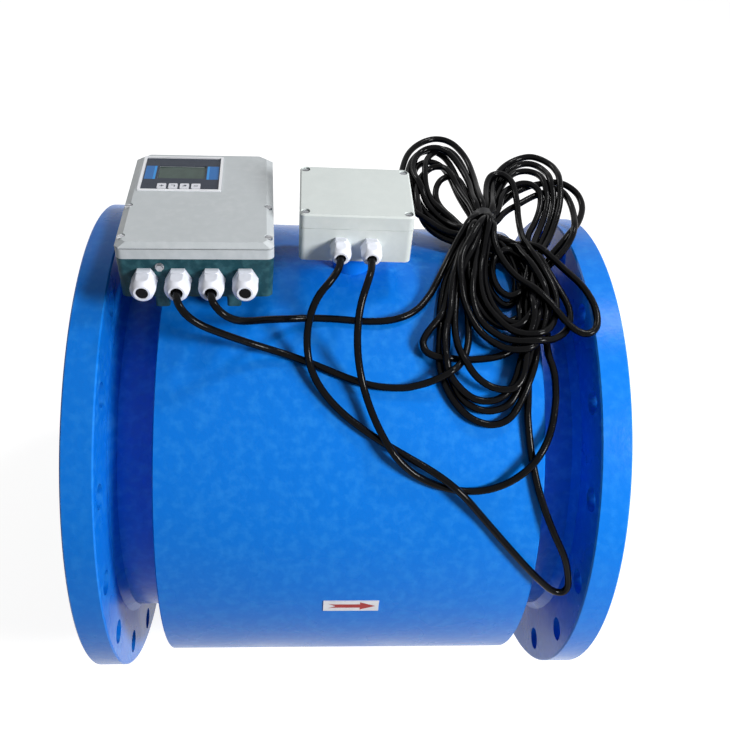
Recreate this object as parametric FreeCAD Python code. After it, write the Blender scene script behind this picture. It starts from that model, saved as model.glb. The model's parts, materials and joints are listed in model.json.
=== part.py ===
"""Electromagnetic flow meter, remote type: a flanged measuring tube with its coil housing and
junction box, and a wall-type converter that lies on the housing, joined by two long cables.

Millimetres. +X runs along the pipe in the flow direction, +Z is up, and the origin is the centre of
the inlet flange's front face.
"""
import FreeCAD, Part
import math
import os

V = FreeCAD.Vector
X_AXIS = V(1, 0, 0)
Y_AXIS = V(0, 1, 0)
Z_AXIS = V(0, 0, 1)

# --- fits -------------------------------------------------------------------------------------
SLIP = 0.3            # radial clearance between round parts that slide together
SEAT = 0.2            # clearance under a part that rests on a curved or moulded face
THREAD_GAP = 0.15     # radial clearance of a screw or nut in its thread

# --- measuring tube ---------------------------------------------------------------------------
BODY_LENGTH = 560.0   # from one flange face to the other
PIPE_D = 426.0
PIPE_WALL = 9.0
BOLT_CIRCLE_RISE = 44.5       # from the pipe's surface to the bolt circle
RIM_RISE = 25.0               # from the bolt circle to the flange's rim
BOLT_CIRCLE_D = PIPE_D + 2 * BOLT_CIRCLE_RISE
FLANGE_D = BOLT_CIRCLE_D + 2 * RIM_RISE
FLANGE_THICKNESS = 32.0
FLANGE_EDGE = 1.5     # chamfer on the rim
WELD = 8.0            # leg of the weld fillet behind each flange
BOLT_HOLE_D = 26.0
BOLT_COUNT = 16
LINER_WALL = 5.0
FLARE_RISE = 27.0             # from the pipe's surface to the edge of the flared lining
FLARE_THICKNESS = 5.0
LINER_EDGE = 3.0

# --- coil housing -----------------------------------------------------------------------------
HOUSING_RISE = 51.5           # from the pipe's surface to the outside of the housing
HOUSING_D = PIPE_D + 2 * HOUSING_RISE
HOUSING_WALL = 4.0
HOUSING_LENGTH = 392.0
HOUSING_EDGE = 1.0
END_PLATE = 6.0
END_PLATE_INSET = 2.0
POLE_THICKNESS = 6.0
POLE_LENGTH = 170.0   # along the pipe
POLE_WIDTH = 190.0    # across the pipe
POLE_CORE_D = 70.0
COIL_HEIGHT = 26.0    # radial
COIL_BAND = 42.0      # width of the winding round its opening
COIL_CORNER = 38.0
COIL_GAP = 5.0        # from the pole piece to the winding
YOKE_THICKNESS = 4.0
YOKE_WIDTH = 200.0
YOKE_RISE = 31.0      # from the pipe to the yoke's inside

# --- electrodes -------------------------------------------------------------------------------
ELECTRODE_HEAD_D = 22.0
ELECTRODE_HEAD = 2.7
ELECTRODE_HEAD_GAP = 0.65     # between the flat head and the round lining
ELECTRODE_STEM_D = 10.0
ELECTRODE_STEM_OUT = 18.0     # how far the stem stands out of the pipe
BUSH_D = 19.4
BUSH_COLLAR_D = 30.0
BUSH_COLLAR = 3.7
ELECTRODE_NUT_AF = 16.0
ELECTRODE_NUT = 7.5

# --- flow arrow plate -------------------------------------------------------------------------
ARROW_PLATE_LENGTH = 59.0
ARROW_PLATE_HEIGHT = 17.2
ARROW_PLATE_THICKNESS = 0.8
ARROW_PLATE_Z = 22.1          # height of its middle above the pipe axis
ARROW_PLATE_X = 5.5           # from the middle of the housing, downstream

# --- junction box on its post -----------------------------------------------------------------
POST_D = 42.0
POST_WALL = 3.5
POST_PLATE = 60.0
POST_PLATE_THICKNESS = 6.0
WIRE_HOLE_D = 26.0
JBOX_X = 1.0                  # from the middle of the housing, downstream
JBOX_Y = 14.5
POST_HEIGHT = 37.0            # from the top of the housing to the underside of the box
JBOX_BOTTOM_Z = HOUSING_D / 2 + POST_HEIGHT
JBOX_WIDTH = 115.0
JBOX_DEPTH = 90.0
JBOX_HEIGHT = 55.0
JBOX_SEAM = 38.5              # height of the base
JBOX_WALL = 3.0
JBOX_CORNER = 6.0
JBOX_EDGE = 1.6
JBOX_SCREW_X = 51.5
JBOX_SCREW_Y = 38.5
JBOX_COLUMN_D = 11.0
JBOX_RECESS_D = 9.0
JBOX_RECESS = 4.0
JBOX_GLAND_PITCH = 31.0
JBOX_GLAND_Z = 19.5
POST_SCREW_PITCH = 44.0
JSTRIP_POLES = 6
JSTRIP_DEPTH = 13.0
JSTRIP_Y = 34.5

# --- converter --------------------------------------------------------------------------------
CONV_X = -158.6               # from the middle of the housing: the converter lies upstream
CONV_TILT = 6.8               # it lies tipped back by this angle on the round housing
CONV_YAW = 2.2
CONV_AHEAD = 12.0             # its middle is this far in front of its line of contact
CONV_WIDTH = 150.0
CONV_DEPTH = 204.0
CONV_BASE = 42.0              # height of the dark base
CONV_DRAFT = 2.0              # each side leans in by this towards the bottom
CONV_FRAME = 10.2             # height of the grey frame on the base
CONV_SEAL = 0.8
CONV_COVER = 6.0
CONV_WALL = 3.5
CONV_CORNER = 7.0
COVER_SKIN = 3.0
COVER_BEVEL_SIDE = 7.0
COVER_BEVEL_BACK = 4.0
COVER_BEVEL_FRONT = 3.0
COVER_BEVEL_START = 1.2       # height of the cover's upright edge
COVER_CUT_CORNER = 8.0
COVER_NEAR_CORNER = 4.0
COVER_SCREW_X = 70.0
COVER_SCREW_Y = (-87.0, -24.0)
COVER_RECESS_D = 8.6
FOOT_HEIGHT = 14.0
FOOT_WIDTH = 14.0
FOOT_LENGTH = 196.0
FOOT_X = 35.0
CONV_GLAND_PITCH = 32.0
CONV_GLAND_X = -1.0           # middle of the row of four
CONV_GLAND_Z = 21.0
EARTH_X = -34.0
EARTH_Z = 33.9

# --- display and keys, on the converter's cover -------------------------------------------------
PANEL_X = -22.5               # middle of the display panel
PANEL_Y = 49.5
TRIM_WIDTH = 86.4
TRIM_DEPTH = 84.0
TRIM_BAND = 2.9
TRIM_HEIGHT = 2.2
POCKET_DEPTH = 1.0
LABEL_THICKNESS = 0.8
WINDOW_WIDTH = 50.0
WINDOW_DEPTH = 31.0
WINDOW_Y = 4.5                # from the middle of the panel
KEY_COUNT = 4
KEY_PITCH = 11.8
KEY_X = -23.7                 # middle of the row of keys
KEY_Y = 19.5
KEY_WIDTH = 9.4
KEY_DEPTH = 11.6
KEY_CORNER = 1.5
KEY_GAP = 0.35                # round each key in its hole
KEY_STANDS = 0.5              # above the label
KEY_RIM = 0.9
KEY_RIM_THICKNESS = 1.3
KEY_TRAVEL = 0.6
BOARD_THICKNESS = 1.6
BOARD_WIDTH = 116.0
BOARD_DEPTH = 100.0
BOARD_BACK_GAP = 10.0         # from the back of the converter to the board
BOARD_Y = CONV_DEPTH / 2 - BOARD_BACK_GAP - BOARD_DEPTH / 2
BOARD_Z = 46.0
SWITCH_SIZE = 6.0
SWITCH_HEIGHT = 3.4
MODULE_MARGIN = 3.0
STRIP_POLES = 14
STRIP_PITCH = 8.0
STRIP_DEPTH = 16.0
STRIP_HEIGHT = 16.0
STRIP_SETBACK = 34.0          # from the front of the converter to the middle of the strip
STRIP_Y = STRIP_SETBACK - CONV_DEPTH / 2

# --- cable glands: thread radius, hexagon across flats, collar, length, mouth radius -------------
SMALL_GLAND = dict(thread=7.6, flats=18.8, collar=7.0, length=23.0, mouth=5.1)
LARGE_GLAND = dict(thread=9.2, flats=21.8, collar=8.5, length=28.0, mouth=5.9)
GLAND_BEVEL = 1.3             # taken off the hexagons' corners at their ends
GLAND_NUT = 5.0
SEAL_LENGTH = 6.0
GLAND_SKIN = 2.6
SEAL_BACK = 3.0               # the seal's face lies this far inside the cap's mouth

# --- cables -----------------------------------------------------------------------------------
CABLE_D = 7.5
TIE_X = 149.0                 # from the middle of the housing, downstream
TIE_Y = 59.0
TIE_HEIGHT = 24.5             # above the top of the housing
TIE_HALF_WIDTH = 15.0
TIE_HALF_HEIGHT = 20.0
TIE_BAND = 1.6
TIE_WIDTH = 11.0

# Hand-laid routes of the four cable tails, from in front of each gland into the hank, for a
# housing of this diameter: x from the middle of the housing, y and z.
LAID_ON_D = 529.0
BOX_LEAD = 18.5               # how far a cable runs straight out of its seal
CONVERTER_LEAD = 13.2
SIGNAL_FROM_BOX = [
    (-23, -80.5, 317), (-36.5, -91.5, 306), (-44.5, -100, 288), (-47.5, -110.5, 266),
    (-45, -125, 245.5), (-34, -144, 230), (-12, -163, 214.5), (18.5, -181, 201), (50, -192, 186.5),
    (83, -208, 177), (109, -223.5, 165), (136, -234, 134), (163, -248, 107), (186, -256.5, 82),
    (200.5, -262, 65), (213.5, -267, 51), (228.5, -267.5, 49), (237, -265, 62), (233, -260, 82),
    (222.5, -253, 104), (206, -242, 126), (189, -218, 159), (180, -193, 187.5), (176, -165, 213),
    (176.5, -134, 235), (182, -100, 251)]
SUPPLY_FROM_BOX = [
    (11, -84, 316.5), (4, -101.5, 303), (1.5, -117, 283), (3, -130.5, 260), (8, -144.5, 239),
    (16, -163, 222), (27, -184, 208), (42, -201, 191), (63.5, -208, 171.5), (90, -214.5, 162),
    (119, -217, 157.8), (147, -215.5, 163), (171, -211, 180), (189, -197, 195.5),
    (201.5, -173, 207), (206, -150, 223), (206, -126, 239), (200, -101, 251)]
SIGNAL_FROM_CONVERTER = [
    (-167.2, -121.5, 313.4), (-159.5, -128, 306), (-147.5, -129, 296), (-132, -125, 284),
    (-114, -118.5, 269.5), (-92, -113.5, 255.5), (-67, -113, 245.5), (-39, -120.5, 239.5),
    (-9, -132.5, 234), (21, -141, 229.5), (51, -142, 229), (78, -136.5, 232), (103, -125.5, 239.5)]
SUPPLY_FROM_CONVERTER = [
    (-134.8, -119.5, 313.4), (-126.5, -124, 305.5), (-115, -120.5, 295), (-101.5, -109.5, 285.5),
    (-85.5, -95, 275.5), (-65.5, -82, 265.5), (-41, -74, 260.5), (-13, -72.5, 258.5),
    (15, -75.5, 258), (43.5, -74, 259.5), (68, -61, 262), (84.5, -37, 267.5), (98, -12.5, 273.5),
    (111, 12, 277)]


def body_middle():
    """The x of the middle of the measuring tube and of its housing."""
    return BODY_LENGTH / 2


def save(name, shape):
    shape.exportStep("parts/%s.step" % name)


def turned(outline, base=V(0, 0, 0), axis=X_AXIS):
    """A solid of revolution about the pipe axis, from an outline of (x, radius) points."""
    corners = [V(x, r, 0) for x, r in outline]
    solid = Part.Face(Part.makePolygon(corners + corners[:1])).revolve(V(0, 0, 0), X_AXIS, 360)
    if solid.Volume < 0:
        solid.reverse()
    solid.Placement = FreeCAD.Placement(base, FreeCAD.Rotation(X_AXIS, axis))
    return solid


def disc(radius, start, end, base=V(0, 0, 0), axis=X_AXIS):
    """A cylinder from start to end along an axis through base."""
    return Part.makeCylinder(radius, end - start, base + axis * start, axis)


def ring(outer, inner, start, end, base=V(0, 0, 0), axis=X_AXIS):
    return disc(outer, start, end, base, axis).cut(disc(inner, start, end, base, axis))


def hexagon(flats, start, end, base=V(0, 0, 0), axis=X_AXIS):
    corners = [V(0, flats / math.sqrt(3) * math.cos(a), flats / math.sqrt(3) * math.sin(a))
               for a in (math.radians(60 * i) for i in range(7))]
    solid = Part.Face(Part.makePolygon(corners)).extrude(X_AXIS * (end - start))
    solid.Placement = FreeCAD.Placement(base + axis * start, FreeCAD.Rotation(X_AXIS, axis))
    return solid


def rounded_rectangle(width, depth, corner, z, x=0.0, y=0.0):
    """A wire in a level plane, with arcs at its corners."""
    right, back = width / 2 - corner, depth / 2 - corner
    edges = []
    last = None
    for cx, cy, start in ((right, back, 0), (-right, back, 90), (-right, -back, 180),
                          (right, -back, 270)):
        ends = [V(x + cx + corner * math.cos(math.radians(a)),
                  y + cy + corner * math.sin(math.radians(a)), z)
                for a in (start, start + 45, start + 90)]
        if last is not None:
            edges.append(Part.makeLine(last, ends[0]))
        else:
            first = ends[0]
        edges.append(Part.Arc(*ends).toShape())
        last = ends[2]
    edges.append(Part.makeLine(last, first))
    return Part.Wire(edges)


def rounded_block(width, depth, corner, bottom, top, x=0.0, y=0.0):
    outline = rounded_rectangle(width, depth, corner, bottom, x, y)
    return Part.Face(outline).extrude(Z_AXIS * (top - bottom))


def block(width, depth, bottom, top, x=0.0, y=0.0):
    return Part.makeBox(width, depth, top - bottom, V(x - width / 2, y - depth / 2, bottom))


def joined(first, others):
    return first.fuse(others).removeSplitter()


# --- measuring tube ---------------------------------------------------------------------------
def electrode_bores(radius):
    """Two bores across the tube, one each side, for the electrodes."""
    reach = HOUSING_D / 2
    return disc(radius, -reach, reach, V(body_middle(), 0, 0), Y_AXIS)


def measuring_tube():
    outer = PIPE_D / 2
    pipe = ring(outer, outer - PIPE_WALL, 0, BODY_LENGTH)
    return pipe.cut(electrode_bores(BUSH_D / 2 + SLIP))


def flange(face_x, inward):
    """One flange: face_x is its front face, and inward is +1 or -1 along the pipe."""
    bore = PIPE_D / 2 + SLIP
    rim = FLANGE_D / 2
    outline = [(0, bore), (0, rim - FLANGE_EDGE), (FLANGE_EDGE, rim),
               (FLANGE_THICKNESS - FLANGE_EDGE, rim), (FLANGE_THICKNESS, rim - FLANGE_EDGE),
               (FLANGE_THICKNESS, bore + WELD), (FLANGE_THICKNESS + WELD, bore)]
    plate = turned([(face_x + inward * depth, r) for depth, r in outline])
    low = min(face_x, face_x + inward * FLANGE_THICKNESS)
    holes = []
    for i in range(BOLT_COUNT):
        angle = math.radians((i + 0.5) * 360 / BOLT_COUNT)
        centre = V(low, BOLT_CIRCLE_D / 2 * math.sin(angle), BOLT_CIRCLE_D / 2 * math.cos(angle))
        holes.append(disc(BOLT_HOLE_D / 2, 0, FLANGE_THICKNESS, centre))
    return plate.cut(holes)


def liner_bore_radius():
    return PIPE_D / 2 - PIPE_WALL - THREAD_GAP - LINER_WALL


def tube_liner():
    sleeve = ring(liner_bore_radius() + LINER_WALL, liner_bore_radius(), 0, BODY_LENGTH)
    return sleeve.cut(electrode_bores(ELECTRODE_STEM_D / 2 + SLIP))


def liner_flare(face_x, outward):
    """The lining's flared end on a flange face: outward is +1 or -1 along the pipe."""
    bore = liner_bore_radius()
    edge = PIPE_D / 2 + FLARE_RISE
    outline = [(0, bore), (0, edge), (FLARE_THICKNESS, edge),
               (FLARE_THICKNESS, bore + LINER_EDGE), (FLARE_THICKNESS - LINER_EDGE, bore)]
    return turned([(face_x + outward * depth, r) for depth, r in outline])


def electrode(side):
    """One electrode: side is -1 or +1 along Y."""
    stem = ELECTRODE_STEM_D / 2
    head = ELECTRODE_HEAD_D / 2
    back = liner_bore_radius() - ELECTRODE_HEAD_GAP
    return turned([(back - ELECTRODE_HEAD, 0), (back - ELECTRODE_HEAD, head - 1),
                   (back - ELECTRODE_HEAD + 1, head), (back, head), (back, stem),
                   (PIPE_D / 2 + ELECTRODE_STEM_OUT, stem), (PIPE_D / 2 + ELECTRODE_STEM_OUT, 0)],
                  V(body_middle(), 0, 0), Y_AXIS * side)


def electrode_bush(side):
    hole = ELECTRODE_STEM_D / 2 + SLIP
    start = PIPE_D / 2 - PIPE_WALL + SEAT
    collar = PIPE_D / 2 + SEAT
    return turned([(start, hole), (start, BUSH_D / 2), (collar, BUSH_D / 2),
                   (collar, BUSH_COLLAR_D / 2), (collar + BUSH_COLLAR, BUSH_COLLAR_D / 2),
                   (collar + BUSH_COLLAR, hole)], V(body_middle(), 0, 0), Y_AXIS * side)


def electrode_nut(side):
    start = PIPE_D / 2 + SEAT + BUSH_COLLAR
    middle = V(body_middle(), 0, 0)
    nut = hexagon(ELECTRODE_NUT_AF, start, start + ELECTRODE_NUT, middle, Y_AXIS * side)
    bore = ELECTRODE_STEM_D / 2 + THREAD_GAP
    return nut.cut(disc(bore, start, start + ELECTRODE_NUT, middle, Y_AXIS * side))


# --- coil housing -----------------------------------------------------------------------------
def housing_shell():
    outer = HOUSING_D / 2
    inner = outer - HOUSING_WALL
    start = body_middle() - HOUSING_LENGTH / 2
    end = start + HOUSING_LENGTH
    shell = turned([(start, inner), (start, outer - HOUSING_EDGE), (start + HOUSING_EDGE, outer),
                    (end - HOUSING_EDGE, outer), (end, outer - HOUSING_EDGE), (end, inner)])
    return shell.cut(disc(WIRE_HOLE_D / 2, inner - 20, outer + 20,
                          V(body_middle() + JBOX_X, JBOX_Y, 0), Z_AXIS))


def housing_end_plate(side):
    """One end plate: side is -1 at the inlet end and +1 at the outlet end."""
    outside = body_middle() + side * (HOUSING_LENGTH / 2 - END_PLATE_INSET)
    inside = outside - side * END_PLATE
    return ring(HOUSING_D / 2 - HOUSING_WALL - THREAD_GAP, PIPE_D / 2 + SLIP,
                min(outside, inside), max(outside, inside))


def half_sleeve(inner, outer, width):
    """A sleeve round the pipe, cut to its upper half."""
    middle = body_middle()
    sleeve = ring(outer, inner, middle - width / 2, middle + width / 2)
    return sleeve.common(block(width, 2 * outer, 1, outer, middle))


def pole_piece():
    """The upper pole piece: a curved shoe on the pipe with its round core up to the yoke."""
    inner = PIPE_D / 2 + SLIP
    top = PIPE_D / 2 + YOKE_RISE - SLIP
    shoe = half_sleeve(inner, inner + POLE_THICKNESS, POLE_LENGTH)
    shoe = shoe.common(block(POLE_LENGTH, POLE_WIDTH, 0, HOUSING_D, body_middle()))
    core = half_sleeve(inner, top, POLE_LENGTH)
    core = core.common(disc(POLE_CORE_D / 2, 0, HOUSING_D, V(body_middle(), 0, 0), Z_AXIS))
    return joined(shoe, [core])


def saddle_coil():
    """The upper winding: a rounded band bent round the pipe, with the pole piece in its opening."""
    inner = PIPE_D / 2 + SLIP
    length = POLE_LENGTH + 2 * COIL_GAP
    width = POLE_WIDTH + 2 * COIL_GAP
    layer = half_sleeve(inner, inner + COIL_HEIGHT, length + 2 * COIL_BAND)
    outline = rounded_block(length + 2 * COIL_BAND, width + 2 * COIL_BAND, COIL_CORNER, 0,
                            HOUSING_D, body_middle())
    opening = block(length, width, 0, HOUSING_D, body_middle())
    return layer.common(outline).cut(opening)


def underneath(shape):
    """A copy turned half a turn round the pipe."""
    below = shape.copy()
    below.rotate(V(0, 0, 0), X_AXIS, 180)
    return below


def return_yoke():
    inner = PIPE_D / 2 + YOKE_RISE
    middle = body_middle()
    return ring(inner + YOKE_THICKNESS, inner, middle - YOKE_WIDTH / 2, middle + YOKE_WIDTH / 2)


def arrow_plate():
    """A thin plate bent to the housing, on its near side, for the flow arrow."""
    inner = HOUSING_D / 2 + SEAT / 2
    middle = body_middle() + ARROW_PLATE_X
    start = middle - ARROW_PLATE_LENGTH / 2
    sheet = ring(inner + ARROW_PLATE_THICKNESS, inner, start, start + ARROW_PLATE_LENGTH)
    low = ARROW_PLATE_Z - ARROW_PLATE_HEIGHT / 2
    return sheet.common(block(ARROW_PLATE_LENGTH, HOUSING_D, low, low + ARROW_PLATE_HEIGHT,
                              middle, -HOUSING_D / 2))


# --- glands -----------------------------------------------------------------------------------
def gland_body(size, wall):
    """Along X from the wall's outer face at zero: thread, hexagon collar and clamping sleeve."""
    collar = size["collar"]
    sleeve = size["flats"] / 2 - GLAND_SKIN - SLIP
    reach = size["length"] - SEAL_BACK - SEAL_LENGTH - 1
    corner = size["flats"] / math.sqrt(3)
    bevelled = turned([(0, 0), (0, corner), (collar - GLAND_BEVEL, corner),
                       (collar, corner - GLAND_BEVEL), (collar, 0)])
    body = joined(disc(size["thread"], -wall - GLAND_NUT - 3, 0),
                  [hexagon(size["flats"], 0, collar).common(bevelled),
                   disc(sleeve, collar, reach)])
    return body.cut(disc(size["mouth"] - 0.4, -wall - GLAND_NUT - 3, reach))


def gland_cap(size):
    """The cap nut: a hexagon whose front half is turned to a dome, with the cable's mouth."""
    start = size["collar"] + SEAT
    end = size["length"]
    corner = size["flats"] / math.sqrt(3) - 0.3
    mouth = size["mouth"]
    dome = 0.52 * (end - start)
    knee = V(end - 0.35 * dome, 0.5 * (corner + mouth) + 1.6, 0)
    shoulder = V(end - dome, corner, 0)
    lip = V(end, mouth + 1.8, 0)
    outline = Part.Wire([
        Part.makeLine(V(start, 0, 0), V(start, corner - GLAND_BEVEL, 0)),
        Part.makeLine(V(start, corner - GLAND_BEVEL, 0), V(start + GLAND_BEVEL, corner, 0)),
        Part.makeLine(V(start + GLAND_BEVEL, corner, 0), shoulder),
        Part.Arc(shoulder, knee, lip).toShape(),
        Part.makeLine(lip, V(end, 0, 0)),
        Part.makeLine(V(end, 0, 0), V(start, 0, 0))])
    blank = Part.Face(outline).revolve(V(0, 0, 0), X_AXIS, 360)
    cap = blank.common(hexagon(size["flats"], start, end))
    hollow = size["flats"] / 2 - GLAND_SKIN
    cavity = turned([(start, 0), (start, hollow), (end - 6, hollow), (end - 1.5, mouth),
                     (end, mouth), (end, 0)])
    return cap.cut(cavity)


def gland_seal(size):
    """The rubber ring that grips the cable inside the cap."""
    return ring(size["mouth"] - SLIP, CABLE_D / 2, size["length"] - SEAL_BACK - SEAL_LENGTH,
                size["length"] - SEAL_BACK)


def gland_plug(size):
    """The blind plug of a gland that holds no cable."""
    return disc(size["mouth"] - SLIP, size["length"] - SEAL_BACK - SEAL_LENGTH,
                size["length"] - 1)


def gland_nut(size, wall):
    nut = hexagon(2 * size["thread"] + 7, -wall - GLAND_NUT, -wall)
    return nut.cut(disc(size["thread"] + THREAD_GAP, -wall - GLAND_NUT, -wall))


def at_front(shape, x, face_y, z):
    """A gland part built along +X, set on a front face so that it points along -Y."""
    placed = shape.copy()
    placed.Placement = FreeCAD.Placement(V(x, face_y, z), FreeCAD.Rotation(X_AXIS, -Y_AXIS))
    return placed


def gland_set(size, wall, places, plugged=()):
    """The parts of a row of glands, each kind as one group."""
    made = {"bodies": [], "caps": [], "seals": [], "locknuts": [], "plugs": []}
    for i, place in enumerate(places):
        made["bodies"].append(at_front(gland_body(size, wall), *place))
        made["caps"].append(at_front(gland_cap(size), *place))
        made["locknuts"].append(at_front(gland_nut(size, wall), *place))
        if i in plugged:
            made["plugs"].append(at_front(gland_plug(size), *place))
        else:
            made["seals"].append(at_front(gland_seal(size), *place))
    return {kind: Part.makeCompound(shapes) for kind, shapes in made.items() if shapes}


# --- junction box, about the middle of its underside --------------------------------------------
def jbox_corners():
    return [(sx * JBOX_SCREW_X, sy * JBOX_SCREW_Y) for sx in (-1, 1) for sy in (-1, 1)]


def jbox_gland_places():
    half = JBOX_GLAND_PITCH / 2
    return [(x, -JBOX_DEPTH / 2, JBOX_GLAND_Z) for x in (-half, half)]


def post_screw_places():
    half = POST_SCREW_PITCH / 2
    return [(sx * half, sy * half) for sx in (-1, 1) for sy in (-1, 1)]


def post():
    """The post under the box, with its square plate, fitted to the round housing."""
    top = JBOX_BOTTOM_Z
    x, y = body_middle() + JBOX_X, JBOX_Y
    tube = disc(POST_D / 2, HOUSING_D / 2 - 15, top, V(x, y, 0), Z_AXIS)
    plate = rounded_block(POST_PLATE, POST_PLATE, 5, top - POST_PLATE_THICKNESS, top, x, y)
    seat = disc(HOUSING_D / 2 + SEAT, x - POST_D, x + POST_D)
    bore = disc(POST_D / 2 - POST_WALL, HOUSING_D / 2 - 15, top, V(x, y, 0), Z_AXIS)
    screws = [disc(2.6, top - POST_PLATE_THICKNESS, top, V(x + sx, y + sy, 0), Z_AXIS)
              for sx, sy in post_screw_places()]
    return joined(tube, [plate]).cut([seat, bore] + screws)


def post_screws():
    floor = JBOX_WALL
    screws = [joined(disc(2.4, -POST_PLATE_THICKNESS, floor, V(x, y, 0), Z_AXIS),
                     [disc(4.5, floor, floor + 2.6, V(x, y, 0), Z_AXIS)])
              for x, y in post_screw_places()]
    return Part.makeCompound(screws)


def jbox_base():
    inside_width, inside_depth = JBOX_WIDTH - 2 * JBOX_WALL, JBOX_DEPTH - 2 * JBOX_WALL
    outer = rounded_block(JBOX_WIDTH, JBOX_DEPTH, JBOX_CORNER, 0, JBOX_SEAM)
    cavity = rounded_block(inside_width, inside_depth, JBOX_CORNER - JBOX_WALL, JBOX_WALL,
                           JBOX_SEAM)
    columns = [disc(JBOX_COLUMN_D / 2, JBOX_WALL, JBOX_SEAM, V(x, y, 0), Z_AXIS)
               for x, y in jbox_corners()]
    shell = joined(outer.cut(cavity), [c.common(outer) for c in columns])
    cuts = [disc(POST_D / 2 - POST_WALL, 0, JBOX_WALL, V(0, 0, 0), Z_AXIS), jbox_groove(1.2)]
    cuts += [disc(2.6, 0, JBOX_WALL, V(x, y, 0), Z_AXIS) for x, y in post_screw_places()]
    cuts += [disc(1.9, 10, JBOX_SEAM, V(x, y, 0), Z_AXIS) for x, y in jbox_corners()]
    cuts += [disc(SMALL_GLAND["thread"] + SLIP, -JBOX_WALL - 1, 1, V(*place), -Y_AXIS)
             for place in jbox_gland_places()]
    return shell.cut(cuts)


def jbox_groove(depth, proud=0.0):
    """The ring for the sealing cord in the top of the wall, or the cord itself standing proud."""
    outside = rounded_block(JBOX_WIDTH - 1.8, JBOX_DEPTH - 1.8, JBOX_CORNER - 0.9,
                            JBOX_SEAM - depth, JBOX_SEAM + proud)
    inside = rounded_block(JBOX_WIDTH - 4.2, JBOX_DEPTH - 4.2, JBOX_CORNER - 2.1,
                           JBOX_SEAM - depth, JBOX_SEAM + proud)
    return outside.cut(inside)


def jbox_lid():
    bottom = JBOX_SEAM + 0.4
    top = JBOX_HEIGHT
    straight = rounded_block(JBOX_WIDTH, JBOX_DEPTH, JBOX_CORNER, bottom, top - JBOX_EDGE)
    inset = 2 * JBOX_EDGE
    bevel = Part.makeLoft([rounded_rectangle(JBOX_WIDTH, JBOX_DEPTH, JBOX_CORNER, top - JBOX_EDGE),
                           rounded_rectangle(JBOX_WIDTH - inset, JBOX_DEPTH - inset,
                                             JBOX_CORNER - JBOX_EDGE, top)], True, True)
    outer = joined(straight, [bevel])
    cavity = rounded_block(JBOX_WIDTH - 2 * JBOX_WALL, JBOX_DEPTH - 2 * JBOX_WALL,
                           JBOX_CORNER - JBOX_WALL, bottom, top - JBOX_WALL)
    columns = [disc(JBOX_COLUMN_D / 2, bottom, top - JBOX_WALL, V(x, y, 0), Z_AXIS)
               for x, y in jbox_corners()]
    lid = joined(outer.cut(cavity), [c.common(outer) for c in columns])
    cuts = [disc(JBOX_RECESS_D / 2, top - JBOX_RECESS, top, V(x, y, 0), Z_AXIS)
            for x, y in jbox_corners()]
    cuts += [disc(2.1, bottom, top, V(x, y, 0), Z_AXIS) for x, y in jbox_corners()]
    return lid.cut(cuts)


def slotted_screw(head, shank, tip, seat_z, height, x, y):
    """A screw along Z: head radius, shank radius, tip height and the height of its head's seat."""
    top = seat_z + height
    bolt = joined(disc(head, seat_z, top, V(x, y, 0), Z_AXIS),
                  [disc(shank, tip, seat_z, V(x, y, 0), Z_AXIS)])
    return bolt.cut(block(2 * head, 0.9, top - 0.45 * height, top, x, y))


def jbox_lid_screws():
    seat = JBOX_HEIGHT - JBOX_RECESS
    return Part.makeCompound([slotted_screw(3.7, 1.75, 14, seat, 2.4, x, y)
                              for x, y in jbox_corners()])


def terminal_block(poles, pitch, depth, height, floor, y):
    """A moulded strip with a row of screw wells on top and wire entries in front."""
    strip = block(poles * pitch, depth, floor, floor + height, 0, y)
    cuts = []
    for i in range(poles):
        x = (i - (poles - 1) / 2) * pitch
        cuts.append(disc(0.33 * pitch, floor + 0.55 * height, floor + height, V(x, y, 0), Z_AXIS))
        cuts.append(block(0.6 * pitch, depth / 3, floor + 1.5, floor + 0.45 * height, x,
                          y - depth / 3))
    return strip.cut(cuts)


def jbox_place():
    return FreeCAD.Placement(V(body_middle() + JBOX_X, JBOX_Y, JBOX_BOTTOM_Z), FreeCAD.Rotation())


def on_post(shape):
    placed = shape.copy()
    placed.Placement = jbox_place().multiply(shape.Placement)
    return placed


# --- converter, about the middle of its underside -----------------------------------------------
def cover_bottom():
    return CONV_BASE + CONV_FRAME + CONV_SEAL


def cover_top():
    return cover_bottom() + CONV_COVER


def cover_screws_places():
    return [(sx * COVER_SCREW_X, y) for sx in (-1, 1) for y in COVER_SCREW_Y]


def conv_gland_places():
    first = CONV_GLAND_X - 1.5 * CONV_GLAND_PITCH
    return [(first + i * CONV_GLAND_PITCH, -CONV_DEPTH / 2, CONV_GLAND_Z) for i in range(4)]


def drafted_block(inset, bottom):
    """The base's form, its sides closer together at the bottom, moved in by inset all round."""
    low_lean = CONV_DRAFT * (1 - bottom / CONV_BASE)
    wires = [rounded_rectangle(CONV_WIDTH - 2 * (inset + lean), CONV_DEPTH - 2 * inset,
                               CONV_CORNER - inset, z)
             for z, lean in ((bottom, low_lean), (CONV_BASE, 0))]
    return Part.makeLoft(wires, True, True)


def board_posts():
    x, y = BOARD_WIDTH / 2 - 6, BOARD_DEPTH / 2 - 6
    return [(sx * x, BOARD_Y + sy * y) for sx in (-1, 1) for sy in (-1, 1)]


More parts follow.
